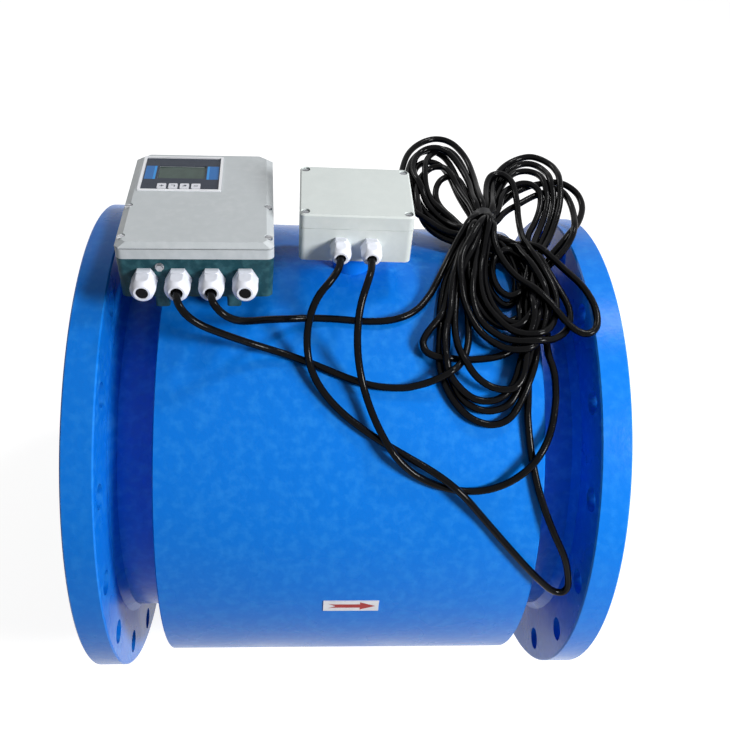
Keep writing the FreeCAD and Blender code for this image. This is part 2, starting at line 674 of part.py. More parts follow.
def conv_base():
    shell = drafted_block(0, 0).cut(drafted_block(CONV_WALL, CONV_WALL))
    posts = [disc(4, CONV_WALL, CONV_BASE, V(x, y, 0), Z_AXIS) for x, y in board_posts()]
    posts += [disc(3, CONV_BASE, BOARD_Z, V(x, y, 0), Z_AXIS) for x, y in board_posts()]
    shell = joined(shell, posts)
    cuts = [disc(LARGE_GLAND["thread"] + SLIP, -CONV_WALL - 2, 2, V(*place), -Y_AXIS)
            for place in conv_gland_places()]
    cuts.append(disc(2.0 + THREAD_GAP, -CONV_WALL - 2, 2, V(EARTH_X, -CONV_DEPTH / 2, EARTH_Z),
                     -Y_AXIS))
    return shell.cut(cuts)


def conv_frame():
    bottom, top = CONV_BASE, CONV_BASE + CONV_FRAME
    band = rounded_block(CONV_WIDTH, CONV_DEPTH, CONV_CORNER, bottom, top)
    opening = rounded_block(CONV_WIDTH - 2 * CONV_WALL, CONV_DEPTH - 2 * CONV_WALL,
                            CONV_CORNER - CONV_WALL, bottom, top)
    bosses = [disc(4.2, bottom, top, V(x, y, 0), Z_AXIS).common(band)
              for x, y in cover_screws_places()]
    holes = [disc(1.8, bottom, top, V(x, y, 0), Z_AXIS) for x, y in cover_screws_places()]
    return joined(band.cut(opening), bosses).cut(holes)


def conv_gasket():
    bottom = CONV_BASE + CONV_FRAME
    outside = rounded_block(CONV_WIDTH - 1.6, CONV_DEPTH - 1.6, CONV_CORNER - 0.8, bottom,
                            bottom + CONV_SEAL)
    inside = rounded_block(CONV_WIDTH - 5.6, CONV_DEPTH - 5.6, CONV_CORNER - 2.8, bottom,
                           bottom + CONV_SEAL)
    return outside.cut(inside)


def cover_outline(side, back, front, z):
    """The cover's outline with its far corners cut off, moved in by side, back and front."""
    right = CONV_WIDTH / 2 - side
    far = CONV_DEPTH / 2 - back
    near = -CONV_DEPTH / 2 + front
    cut, small = COVER_CUT_CORNER, COVER_NEAR_CORNER
    corners = [V(right, near + small, z), V(right, far - cut, z), V(right - cut, far, z),
               V(cut - right, far, z), V(-right, far - cut, z), V(-right, near + small, z),
               V(small - right, near, z), V(right - small, near, z)]
    return Part.makePolygon(corners + corners[:1])


def conv_cover():
    bottom, top = cover_bottom(), cover_top()
    knee = bottom + COVER_BEVEL_START
    skirt = Part.Face(cover_outline(0, 0, 0, bottom)).extrude(Z_AXIS * COVER_BEVEL_START)
    crown = Part.makeLoft([cover_outline(0, 0, 0, knee),
                           cover_outline(COVER_BEVEL_SIDE, COVER_BEVEL_BACK, COVER_BEVEL_FRONT,
                                         top)], True, True)
    inset = COVER_BEVEL_SIDE + COVER_SKIN
    cavity = block(CONV_WIDTH - 2 * inset, CONV_DEPTH - 2 * inset, bottom, top - COVER_SKIN)
    floor = top - POCKET_DEPTH
    cuts = [cavity,
            rounded_block(TRIM_WIDTH + SLIP, TRIM_DEPTH + SLIP, 1.5, floor, top, PANEL_X, PANEL_Y),
            block(WINDOW_WIDTH, WINDOW_DEPTH, bottom, top, PANEL_X, PANEL_Y + WINDOW_Y)]
    cuts += [key_hole(x, bottom, top) for x in key_places()]
    for x, y in cover_screws_places():
        cuts.append(disc(COVER_RECESS_D / 2, top - COVER_SKIN, top, V(x, y, 0), Z_AXIS))
        cuts.append(disc(2.0, bottom, top, V(x, y, 0), Z_AXIS))
    return joined(skirt, [crown]).cut(cuts)


def conv_cover_screws():
    seat = cover_top() - COVER_SKIN
    return Part.makeCompound([slotted_screw(3.6, 1.6, CONV_BASE + 1, seat, 2.2, x, y)
                              for x, y in cover_screws_places()])


def key_places():
    return [KEY_X + (i - (KEY_COUNT - 1) / 2) * KEY_PITCH for i in range(KEY_COUNT)]


def key_hole(x, bottom, top):
    return rounded_block(KEY_WIDTH + 2 * KEY_GAP, KEY_DEPTH + 2 * KEY_GAP, KEY_CORNER + KEY_GAP,
                         bottom, top, x, KEY_Y)


def label_bottom():
    return cover_top() - POCKET_DEPTH + 0.05


def display_trim():
    bottom = cover_top() - POCKET_DEPTH
    outer = rounded_block(TRIM_WIDTH, TRIM_DEPTH, 1.4, bottom, bottom + TRIM_HEIGHT, PANEL_X,
                          PANEL_Y)
    return outer.cut(block(TRIM_WIDTH - 2 * TRIM_BAND, TRIM_DEPTH - 2 * TRIM_BAND, bottom,
                           bottom + TRIM_HEIGHT, PANEL_X, PANEL_Y))


def display_label():
    inset = 2 * (TRIM_BAND + THREAD_GAP)
    bottom = label_bottom()
    top = bottom + LABEL_THICKNESS
    sheet = block(TRIM_WIDTH - inset, TRIM_DEPTH - inset, bottom, top, PANEL_X, PANEL_Y)
    cuts = [block(WINDOW_WIDTH, WINDOW_DEPTH, bottom, top, PANEL_X, PANEL_Y + WINDOW_Y)]
    return sheet.cut(cuts + [key_hole(x, bottom, top) for x in key_places()])


def display_module():
    """The liquid crystal display: its glass stands in the window, its frame on the board."""
    y = PANEL_Y + WINDOW_Y
    board = BOARD_Z + BOARD_THICKNESS
    body = block(WINDOW_WIDTH + 2 * MODULE_MARGIN, WINDOW_DEPTH + 2 * MODULE_MARGIN, board,
                 cover_top() - COVER_SKIN - SLIP, PANEL_X, y)
    glass = block(WINDOW_WIDTH - 2 * SLIP, WINDOW_DEPTH - 2 * SLIP, board,
                  cover_top() - POCKET_DEPTH - SEAT, PANEL_X, y)
    return joined(body, [glass])


def key(x):
    """One key: its cap through the cover, the rim that holds it in and the stem to its switch."""
    rim_top = cover_top() - COVER_SKIN - SEAT
    rim_bottom = rim_top - KEY_RIM_THICKNESS
    cap = rounded_block(KEY_WIDTH, KEY_DEPTH, KEY_CORNER, rim_bottom,
                        label_bottom() + LABEL_THICKNESS + KEY_STANDS, x, KEY_Y)
    rim = rounded_block(KEY_WIDTH + 2 * KEY_RIM, KEY_DEPTH + 2 * KEY_RIM, KEY_CORNER, rim_bottom,
                        rim_top, x, KEY_Y)
    stem = disc(2, switch_top() + KEY_TRAVEL + SEAT, rim_bottom, V(x, KEY_Y, 0), Z_AXIS)
    return joined(cap, [rim, stem])


def switch_top():
    return BOARD_Z + BOARD_THICKNESS + SWITCH_HEIGHT


def key_switches():
    board = BOARD_Z + BOARD_THICKNESS
    switches = [joined(block(SWITCH_SIZE, SWITCH_SIZE, board, switch_top() - 1, x, KEY_Y),
                       [disc(1.7, switch_top() - 1, switch_top(), V(x, KEY_Y, 0), Z_AXIS)])
                for x in key_places()]
    return Part.makeCompound(switches)


def circuit_board():
    return block(BOARD_WIDTH, BOARD_DEPTH, BOARD_Z, BOARD_Z + BOARD_THICKNESS, 0, BOARD_Y)


def earth_screw():
    """A hexagon screw with its washer on the front of the base."""
    face = CONV_DEPTH / 2
    spot = V(EARTH_X, 0, EARTH_Z)
    washer = disc(4.2, face, face + 1, spot, -Y_AXIS)
    head = hexagon(6, face + 1, face + 4, spot, -Y_AXIS)
    shank = disc(2.0, face - CONV_WALL - 4, face, spot, -Y_AXIS)
    return joined(washer, [head, shank])


def conv_feet():
    feet = [rounded_block(FOOT_WIDTH, FOOT_LENGTH, 3, -FOOT_HEIGHT, 0, x)
            for x in (-FOOT_X, FOOT_X)]
    return Part.makeCompound(feet)


def converter_place():
    """Where the converter lies: tipped back on the housing, resting on its feet."""
    turn = FreeCAD.Rotation(Z_AXIS, CONV_YAW).multiply(FreeCAD.Rotation(X_AXIS, -CONV_TILT))
    lift = HOUSING_D / 2 + SLIP + FOOT_HEIGHT
    tilt = math.radians(CONV_TILT)
    up = V(0, math.sin(tilt), math.cos(tilt)) * lift
    ahead = V(0, -math.cos(tilt), math.sin(tilt)) * CONV_AHEAD
    return FreeCAD.Placement(up + ahead + V(body_middle() + CONV_X, 0, 0), turn)


def on_housing(shape):
    placed = shape.copy()
    placed.Placement = converter_place().multiply(shape.Placement)
    return placed


# --- cables -----------------------------------------------------------------------------------
def way_out(size, place, where, lead):
    """A cable's first two points: at the back of its seal and straight out in front of it."""
    x, face_y, z = place
    back = face_y - size["length"] + SEAL_BACK + SEAL_LENGTH
    return [where.multVec(V(x, back, z)), where.multVec(V(x, back - lead, z))]


def laid(route):
    """The points of a route on this housing, which they follow when its size changes."""
    grown = HOUSING_D / LAID_ON_D
    return [V(body_middle() + x, y * grown, z * grown) for x, y, z in route]


def cord_tube(name, corners):
    """A cable along straight runs joined by tangent arcs as large as the runs allow."""
    edges = []
    radii = []
    start = corners[0]
    for before, corner, after in zip(corners, corners[1:], corners[2:]):
        run_in = corner - before
        run_out = after - corner
        half_turn = run_in.getAngle(run_out) / 2
        trim = 0.45 * min(run_in.Length, run_out.Length)
        radius = trim / math.tan(half_turn)
        towards = run_out * (1 / run_out.Length) - run_in * (1 / run_in.Length)
        middle = corner + towards * (radius * (1 / math.cos(half_turn) - 1) / towards.Length)
        arc_start = corner - run_in * (trim / run_in.Length)
        arc_end = corner + run_out * (trim / run_out.Length)
        edges.append(Part.LineSegment(start, arc_start).toShape())
        edges.append(Part.Arc(arc_start, middle, arc_end).toShape())
        radii.append(radius)
        start = arc_end
    edges.append(Part.LineSegment(start, corners[-1]).toShape())
    path = Part.Wire(edges)
    section = Part.makeCircle(CABLE_D / 2, corners[0], corners[1] - corners[0])
    tube = path.makePipeShell([Part.Wire(section)], True, True)
    share = tube.Volume / (math.pi * CABLE_D ** 2 / 4 * path.Length)
    print("%s: %.0f mm, least radius %.0f mm, radii %s, volume share %.4f"
          % (name, path.Length, min(radii), [round(r) for r in radii], share))
    return tube


def oval_prism(x, y, half_length, half_width, turn):
    """A tall upright prism on an ellipse, its long axis turned from +X."""
    edge = Part.Ellipse(V(0, 0, 0), half_length, half_width).toShape()
    prism = Part.Face(Part.Wire(edge)).extrude(Z_AXIS * HOUSING_D)
    prism.Placement = FreeCAD.Placement(V(x, y, 0), FreeCAD.Rotation(Z_AXIS, turn))
    return prism


def hank_layer():
    """The sheet of turns seen from the side: along the housing in front, level behind its crest."""
    crest = HOUSING_D / 2
    under = crest + 1.0
    low = math.radians(43)
    spread = math.radians(20)
    front = V(0, -under * math.sin(low), under * math.cos(low))
    side = V(0, -under * math.sin(spread), under * math.cos(spread))
    top = V(0, 0, under)
    rear = [V(0, 20, crest + 2), V(0, 234, crest + 30), V(0, 234, crest + 41)]
    tops = [V(0, 190, crest + 45), V(0, 130, crest + 48), V(0, 59, crest + 43.5),
            V(0, 0, crest + 27), V(0, -60, crest + 20), V(0, -118, crest),
            V(0, -152, crest - 29), V(0, -190, crest - 66)]
    upper = Part.BSplineCurve()
    upper.interpolate([rear[-1]] + tops)
    outline = Part.Wire([
        Part.Arc(front, side, top).toShape(), Part.makeLine(top, rear[0]),
        Part.makeLine(rear[0], rear[1]), Part.makeLine(rear[1], rear[2]), upper.toShape(),
        Part.makeLine(tops[-1], front)])
    return Part.Face(outline).extrude(X_AXIS * BODY_LENGTH)


def cable_hank():
    """The spare cable's outer shape: a full lobe in front of the tie and two open ones behind."""
    x, y = tie_middle().x, tie_middle().y
    front = oval_prism(x + 8, y - 97, 92, 68, 95)
    tip = oval_prism(x - 14, y - 177, 60, 44, 80)
    left = oval_prism(x - 41, y + 76, 98, 45, 84).cut(oval_prism(x - 40, y + 78, 64, 21, 84))
    right = oval_prism(x + 71, y + 33, 84, 49, 62).cut(oval_prism(x + 67, y + 45, 44, 22, 62))
    neck = block(2 * TIE_HALF_WIDTH, 60, 0, HOUSING_D, x, y - 6)
    hank = joined(front, [tip, left, right, neck]).common(hank_layer())
    rim = disc(FLANGE_D / 2 + 1, BODY_LENGTH - FLANGE_THICKNESS - 1, BODY_LENGTH + 1)
    return hank.cut([rim, tie_band(0, -TIE_BAND)])


def tie_middle():
    return V(body_middle() + TIE_X, TIE_Y, HOUSING_D / 2 + TIE_HEIGHT)


def tie_oval(grown):
    """A short prism across the cables at the tie, its oval grown by this much."""
    middle = tie_middle() - Y_AXIS * (TIE_WIDTH / 2)
    oval = Part.Ellipse(middle + Z_AXIS * (TIE_HALF_HEIGHT + grown),
                        middle + X_AXIS * (TIE_HALF_WIDTH + grown), middle)
    return Part.Face(Part.Wire(oval.toShape())).extrude(Y_AXIS * TIE_WIDTH)


def tie_band(outside, inside):
    return tie_oval(outside).cut(tie_oval(inside))


def cable_tie():
    """A flat band round the strands that cross the crest of the hank."""
    return tie_band(0, -TIE_BAND)


def box_tail(name, index, route):
    start = way_out(SMALL_GLAND, jbox_gland_places()[index], jbox_place(), BOX_LEAD)
    save(name, cord_tube(name, start + laid(route)))


def converter_tail(name, index, route):
    start = way_out(LARGE_GLAND, conv_gland_places()[index], converter_place(), CONVERTER_LEAD)
    save(name, cord_tube(name, start + laid(route)))


def build():
    os.makedirs("parts", exist_ok=True)
    save("measuring_tube", measuring_tube())
    save("inlet_flange", flange(0, 1))
    save("outlet_flange", flange(BODY_LENGTH, -1))
    save("tube_liner", tube_liner())
    save("liner_flare_inlet", liner_flare(0, -1))
    save("liner_flare_outlet", liner_flare(BODY_LENGTH, 1))
    for name, side in (("near", -1), ("far", 1)):
        save("electrode_" + name, electrode(side))
    save("electrode_bushes", Part.makeCompound([electrode_bush(side) for side in (-1, 1)]))
    save("electrode_nuts", Part.makeCompound([electrode_nut(side) for side in (-1, 1)]))

    save("housing_shell", housing_shell())
    save("housing_end_plate_inlet", housing_end_plate(-1))
    save("housing_end_plate_outlet", housing_end_plate(1))
    save("upper_pole_piece", pole_piece())
    save("lower_pole_piece", underneath(pole_piece()))
    save("upper_coil", saddle_coil())
    save("lower_coil", underneath(saddle_coil()))
    save("return_yoke", return_yoke())
    save("flow_arrow_plate", arrow_plate())

    save("junction_box_post", post())
    save("junction_box_post_screws", on_post(post_screws()))
    save("junction_box_base", on_post(jbox_base()))
    save("junction_box_gasket", on_post(jbox_groove(1.1, 0.4)))
    save("junction_box_lid", on_post(jbox_lid()))
    save("junction_box_lid_screws", on_post(jbox_lid_screws()))
    save("junction_box_terminals", on_post(terminal_block(JSTRIP_POLES, STRIP_PITCH, JSTRIP_DEPTH,
                                                           STRIP_HEIGHT, JBOX_WALL, JSTRIP_Y)))
    for kind, shape in gland_set(SMALL_GLAND, JBOX_WALL, jbox_gland_places()).items():
        save("junction_gland_" + kind, on_post(shape))

    save("converter_base", on_housing(conv_base()))
    save("converter_feet", on_housing(conv_feet()))
    save("converter_frame", on_housing(conv_frame()))
    save("converter_gasket", on_housing(conv_gasket()))
    save("converter_cover", on_housing(conv_cover()))
    save("converter_cover_screws", on_housing(conv_cover_screws()))
    save("display_trim", on_housing(display_trim()))
    save("display_label", on_housing(display_label()))
    save("display_module", on_housing(display_module()))
    save("circuit_board", on_housing(circuit_board()))
    save("key_switches", on_housing(key_switches()))
    for i, x in enumerate(key_places()):
        save("key_%d" % (i + 1), on_housing(key(x)))
    save("terminal_strip", on_housing(terminal_block(STRIP_POLES, STRIP_PITCH, STRIP_DEPTH,
                                                     STRIP_HEIGHT, CONV_WALL, STRIP_Y)))
    save("earth_screw", on_housing(earth_screw()))
    glands = gland_set(LARGE_GLAND, CONV_WALL, conv_gland_places(), plugged=(0, 3))
    for kind, shape in glands.items():
        save("converter_gland_" + kind, on_housing(shape))

    box_tail("signal_cable_at_box", 0, SIGNAL_FROM_BOX)
    box_tail("supply_cable_at_box", 1, SUPPLY_FROM_BOX)
    converter_tail("signal_cable_at_converter", 1, SIGNAL_FROM_CONVERTER)
    converter_tail("supply_cable_at_converter", 2, SUPPLY_FROM_CONVERTER)
    save("cable_hank", cable_hank())
    save("cable_tie", cable_tie())


build()
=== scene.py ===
"""Looks of a flanged electromagnetic flow meter: camera, cables, materials, marks and studio."""
import json
import math

import bpy
import numpy as np
from mathutils import Matrix, Vector


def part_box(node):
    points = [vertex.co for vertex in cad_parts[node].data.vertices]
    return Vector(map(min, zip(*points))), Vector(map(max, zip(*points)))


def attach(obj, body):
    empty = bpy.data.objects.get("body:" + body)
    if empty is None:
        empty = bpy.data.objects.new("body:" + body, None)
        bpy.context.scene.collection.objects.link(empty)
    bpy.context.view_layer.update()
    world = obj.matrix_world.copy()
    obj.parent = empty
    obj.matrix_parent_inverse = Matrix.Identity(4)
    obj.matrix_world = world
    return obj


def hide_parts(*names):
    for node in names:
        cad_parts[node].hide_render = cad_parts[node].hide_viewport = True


MM = 0.001                    # lengths are in millimetres where they aren't said to be in metres
BODY = "meter"
HOUSING_R = 264.5
FLANGE_R = 282.5
RIM_FROM_X = 524.0            # where the outlet flange's rim begins


# --- camera -----------------------------------------------------------------------------------
def camera():
    """The photograph's camera: its place in metres, its turn and its lens."""
    place = (0.22251, -0.74463, 0.84203)
    yaw, pitch, roll = (math.radians(a) for a in (6.42, 44.34, 5.50))
    forward = Vector((math.sin(yaw) * math.cos(pitch), math.cos(yaw) * math.cos(pitch),
                      -math.sin(pitch)))
    level = Vector((math.cos(yaw), -math.sin(yaw), 0))
    upward = level.cross(forward)
    right = level * math.cos(roll) + upward * math.sin(roll)
    up = upward * math.cos(roll) - level * math.sin(roll)
    data = bpy.data.cameras.new("camera")
    data.lens = 42.612
    data.sensor_width = 36
    data.shift_y = 0.01123
    data.clip_end = 30
    view = bpy.data.objects.new("camera", data)
    turn = Matrix((right, up, -forward)).transposed()
    view.matrix_world = Matrix.Translation(place) @ turn.to_4x4()
    bpy.context.collection.objects.link(view)
    bpy.context.scene.camera = view


# --- cables -----------------------------------------------------------------------------------
CABLE_D = 7.5
SPACING = 7.6                 # between the middles of two turns that touch
STEP = 4.0                    # between the points that the turns are laid out with
POINTS_APART = 3              # a control point for every so many of them
TIE = (429.0, 59.0, 289.0)
TIE_OVAL = (9.4, 14.2)        # the middles of the tied turns lie within this oval
TIE_CATCHES = (17, 8)         # strands this near to the tie, across and along, go through it
BEFORE_TIE = (30, 14)         # half the width and length of the stretch just in front of the tie
BEFORE_TIE_S = 36
TAIL_ENDS = 3                 # how many points of a tail are shared with the hank's turns
BACK_SLOPE = 0.16
CREST_ROUNDING = 30
ROUNDS = 520                  # of settling
SINK = 0.25                   # towards the housing in one of them
DRAW_DOWN = 0.2               # just in front of the tie in one of them

SIGNAL_FROM_BOX = [
    (265.5, -44.5, 321), (265.5, -63, 321), (257, -80.5, 317), (243.5, -91.5, 306),
    (235.5, -100, 288), (232.5, -110.5, 266), (235, -125, 245.5), (246, -144, 230),
    (268, -163, 214.5), (298.5, -181, 201), (330, -192, 186.5), (363, -208, 177),
    (389, -223.5, 165), (416, -234, 134), (443, -248, 107), (466, -256.5, 82),
    (481, -261, 66.5), (496.5, -264.5, 51.5), (508.5, -265.5, 48), (513.5, -264.5, 57),
    (511, -260.5, 72), (503, -254, 98), (486, -242, 126), (469, -218, 159),
    (460, -193, 187.5), (456, -165, 213), (456.5, -134, 235), (462, -100, 251)]
SUPPLY_FROM_BOX = [
    (296.5, -44.5, 321), (296.5, -64, 321), (291, -84, 316.5), (284, -101.5, 303),
    (281.5, -117, 283), (283, -130.5, 260), (288, -144.5, 239), (296, -163, 222),
    (307, -184, 208), (322, -201, 191), (343.5, -208, 171.5), (370, -214.5, 162),
    (399, -217, 157.8), (427, -215.5, 163), (451, -211, 180), (469, -197, 195.5),
    (481.5, -173, 207), (486, -150, 223), (486, -126, 239), (480, -101, 251)]
SIGNAL_FROM_CONVERTER = [
    (108.9, -97.1, 313.6), (109.4, -110.5, 315.2), (112.8, -121.5, 313.4),
    (120.5, -128, 306), (132.5, -129, 296), (148, -125, 284), (166, -118.5, 269.5),
    (188, -113.5, 255.5), (213, -113, 245.5), (241, -120.5, 239.5), (271, -132.5, 234),
    (301, -141, 229.5), (331, -142, 229), (358, -136.5, 232), (383, -125.5, 239.5)]
SUPPLY_FROM_CONVERTER = [
    (140.9, -95.9, 313.6), (141.4, -109, 315.2), (145.2, -119.5, 313.4), (153.5, -124, 305.5),
    (165, -120.5, 295), (178.5, -109.5, 285.5), (194.5, -95, 275.5), (214.5, -82, 265.5),
    (239, -74, 260.5), (267, -72.5, 258.5), (295, -75.5, 258), (323.5, -74, 259.5),
    (348, -61, 262), (364.5, -37, 267.5), (378, -12.5, 273.5), (391, 12, 277)]

# Loops of the hank from the tie out and back, laid out flat: x along the pipe, and the distance in
# front of the housing's crest, measured over its surface. "under" points pass beneath the tied
# strands.
LOOPS = {
    "right_far": [(494, -11), (510, -28), (527, -44), (542, -68), (550, -92), (547, -114),
                  (535, -127), (521, -134), (504, -137), (485, -131), (468, -118), (454, -101),
                  (443, -78)],
    "front_long": [(417, -47), (398, -14), (383, 23), (375, 64), (371, 98), (369, 123),
                   (373, 142), (381, 158), (393, 172), (408, 180), (422, 182), (436, 177),
                   (444, 166), (451, 149), (457, 129), (462, 105), (468, 77), (475, 49),
                   (480, 25), (486, 6)],
    "right_low": [(489, 1), (507, -13), (522, -30), (533, -57), (536, -86), (531, -108),
                  (518, -118), (501, -117), (484, -107), (469, -97), (456, -87), (443, -72)],
    "front_wide": [(414, -41), (401, -13), (388, 20), (381, 52), (376, 89), (375, 118),
                   (381, 142), (391, 158), (406, 167), (422, 168), (437, 162), (446, 150),
                   (453, 131), (460, 110), (467, 83), (473, 56), (478, 30), (485, 3)],
    "right_inner": [(481, -47), (493, -73), (503, -95), (506, -113), (499, -128), (486, -134),
                    (472, -130), (461, -118), (451, -100), (442, -74)],
    "front_left": [(417, -41), (401, -11), (388, 22), (382, 46), (375, 67), (364, 80),
                   (354, 92), (350, 104), (357, 113), (370, 117), (388, 117), (407, 116),
                   (427, 113), (442, 107), (454, 95), (460, 75), (461, 48), (460, 19),
                   (456, -12), (449, -33), ("under", 438, -45), ("under", 424, -46)],
    "left_low": [("under", 411, -48), ("under", 399, -56), (388, -63), (374, -73), (363, -89),
                 (358, -112), (356, -140), (357, -167), (364, -189), (378, -201), (394, -197),
                 (405, -179), (411, -150), (417, -115), (426, -85)],
    "front_mid": [(414, -36), (397, -1), (385, 31), (378, 64), (373, 95), (373, 118),
                  (380, 139), (393, 153), (407, 159), (424, 158), (438, 150), (448, 138),
                  (454, 120), (459, 92), (462, 62), (466, 32), (472, 2), (481, -22)],
    "right_third": [(486, -39), (499, -67), (510, -91), (514, -111), (513, -133), (506, -151),
                    (493, -160), (478, -156), (464, -140), (451, -112), (440, -75)],
    "front_small": [(432, -52), (431, -29), (427, -4), (424, 25), (426, 53), (433, 70),
                    (444, 79), (458, 79), (469, 67), (474, 47), (472, 23), (469, -4),
                    (462, -24), ("under", 449, -34), ("under", 430, -36)],
    "left_small": [("under", 412, -51), ("under", 403, -66), (395, -81), (387, -94),
                   (382, -112), (384, -133), (393, -149), (406, -151), (415, -136),
                   (420, -104), (424, -76)],
    "right_second": [(490, -30), (505, -61), (516, -90), (520, -116), (519, -147), (511, -169),
                     (500, -177), (484, -174), (470, -163), (458, -143), (447, -111),
                     (437, -70)],
    "front_inner": [(419, -35), (406, -7), (394, 19), (387, 47), (384, 75), (385, 99),
                    (389, 115), (397, 129), (408, 140), (421, 147), (436, 149), (446, 145),
                    (453, 133), (459, 112), (464, 83), (468, 56), (473, 30), (481, 4)],
    "right_outer": [(492, -21), (509, -55), (522, -90), (527, -118), (527, -153), (516, -176),
                    (503, -186), (485, -181), (470, -168), (457, -147), (447, -114),
                    (436, -69)],
    "front_round": [(423, -43), (412, -24), (402, -1), (396, 23), (395, 46), (400, 69),
                    (409, 87), (422, 100), (436, 108), (450, 109), (462, 103), (472, 91),
                    (478, 72), (479, 52), (475, 29), (469, -1), (460, -26),
                    ("under", 446, -38), ("under", 428, -40)],
    "left_third": [("under", 412, -52), ("under", 402, -71), (389, -86), (377, -104),
                   (371, -129), (371, -156), (377, -180), (390, -197), (405, -199),
                   (416, -184), (422, -157), (425, -120), (424, -74)],
    "front_second": [(429, -43), (419, -23), (411, 3), (406, 29), (406, 55), (411, 76),
                     (423, 90), (436, 99), (452, 103), (469, 103), (485, 98), (499, 88),
                     (507, 72), (507, 54), (500, 37), (491, 21), (481, 2), (469, -25),
                     ("under", 452, -38), ("under", 432, -41)],
    "left_second": [("under", 412, -50), ("under", 400, -66), (384, -84), (370, -100),
                    (361, -126), (357, -153), (361, -178), (373, -194), (388, -197),
                    (404, -191), (415, -172), (422, -146), (424, -114), (423, -65)],
    "front_top": [(430, -40), (425, -24), (419, 1), (416, 26), (418, 52), (427, 73),
                  (438, 87), (449, 94), (462, 97), (476, 92), (487, 78), (493, 60),
                  (494, 43), (490, 24), (483, 7)],
    "right_arch": [(475, -24), (474, -49), (474, -78), (475, -106), (474, -131), (467, -147),
                   (455, -148), (446, -133), (441, -105), (434, -62)],
    "front_right": [(431, -36), (434, -15), (442, 6), (454, 27), (470, 46), (484, 62),
                    (494, 76), (504, 87), (516, 94), (527, 91), (532, 79), (532, 63),
                    (528, 48), (521, 31), (511, 13), (500, -6), (485, -21), (470, -33),
                    ("under", 452, -42), ("under", 432, -43)],
    "front_dark": [(421, -44), (414, -18), (411, 11), (415, 35), (422, 55), (434, 69), (448, 72),
                   (461, 65), (470, 50), (474, 27), (473, 2), (467, -15), (455, -25),
                   (441, -22), (431, -7), (428, 14), (431, 34), (440, 49), (451, 51),
                   (460, 41), (464, 20), (462, -2), (455, -22), ("under", 443, -36),
                   ("under", 427, -40)],
    "left_high": [("under", 412, -50), ("under", 402, -58), (391, -68), (378, -82),
                  (364, -104), (356, -129), (356, -155), (364, -175), (379, -184),
                  (394, -176), (403, -154), (409, -125), (416, -97), (423, -72)],
    "front_deep": [(418, -42), (408, -11), (404, 19), (406, 45), (415, 65), (429, 79),
                   (445, 84), (460, 78), (471, 62), (478, 41), (480, 16), (476, -8),
                   (465, -22), (451, -25), (438, -14), (432, 6), (434, 30), (443, 44),
                   (455, 44), (466, 32), (471, 12), (470, -10), (464, -26),
                   ("under", 452, -38), ("under", 434, -42)],
    "left_inner": [("under", 412, -46), ("under", 401, -49), (388, -55), (375, -66),
                   (364, -84), (359, -106), (361, -131), (369, -153), (382, -167),
                   (395, -166), (404, -151), (410, -128), (416, -103), (423, -70)],
    "signal_in": [(468, 75), (478, 40)],
    "signal_out": [(418, -45), (410, -15), (404, 20), (402, 55), (400, 85), (395, 108)],
    "supply_in": [(486, 60), (489, 15)],
    "supply_out": [(412, -40)],
    "left_outer": [("under", 412, -46), ("under", 401, -54), (388, -60), (374, -70),
                   (358, -89), (349, -116), (345, -146), (348, -172), (357, -199),
                   (373, -218), (392, -227), (409, -222), (421, -204), (428, -179),
                   (429, -143), (426, -102), (424, -63)],
}
SIGNAL_TURNS = ["signal_in", "right_far", "front_dark", "left_high", "front_long", "right_low",
                "front_wide", "right_inner", "front_left", "left_low", "front_mid",
                "right_third", "front_small", "left_small", "signal_out"]
SUPPLY_TURNS = ["supply_in", "right_second", "front_deep", "left_inner", "front_inner",
                "right_outer", "front_round", "left_third", "front_second", "left_second",
                "front_top", "right_arch", "front_right", "left_outer", "supply_out"]


def rise(y):
    """How far the turns behind the crest stand above it where nothing lies under them."""
    return BACK_SLOPE * (np.sqrt(y * y + CREST_ROUNDING ** 2) - CREST_ROUNDING)


def sheet_to_space(x, s, h):
    """Points in space from x, the distance s in front of the crest and the height h."""
    angle = s / HOUSING_R
    in_front = s > 0
    y = np.where(in_front, -(HOUSING_R + h) * np.sin(angle), -s)
    z = np.where(in_front, (HOUSING_R + h) * np.cos(angle), HOUSING_R + rise(-s) + h)
    return np.stack([x, y, z], -1)


def height_and_normal(points):
    """Heights over the surface that the hank lies on, and that surface's normals."""
    _, y, z = points.T
    reach = np.hypot(y, z)
    front = y < 0
    height = np.where(front, reach - HOUSING_R, z - HOUSING_R - rise(y))
    normal = np.zeros_like(points)
    normal[:, 1] = np.where(front, y / reach, 0)
    normal[:, 2] = np.where(front, z / reach, 1)
    return height, normal


def lowest(x):
    """The least height of a turn's middle: on the housing, or up on the flange's rim."""
    climb_length = 12
    on_housing = CABLE_D / 2 + 0.3
    on_rim = FLANGE_R - HOUSING_R + CABLE_D / 2 + 0.6
    climb = np.clip((x - RIM_FROM_X + climb_length) / climb_length, 0, 1)
    return on_housing + (on_rim - on_housing) * climb


def tail_keys(route):
    """A tail's points as x, s, height and no mark for passing under."""
    keys = []
    for x, y, z in route:
        angle = math.atan2(-y, z)
        if y < 0:
            keys.append((x, HOUSING_R * angle, math.hypot(y, z) - HOUSING_R, 0))
        else:
            keys.append((x, -y, z - HOUSING_R - rise(y), 0))
    return keys


def turn_keys(names):
    """The points of the named loops as x, s, no height and a mark for passing under."""
    keys = []
    for name in names:
        for point in LOOPS[name]:
            under = 1 if point[0] == "under" else 0
            x, s = point[-2:]
            keys.append((x, s, 0, under))
    return keys


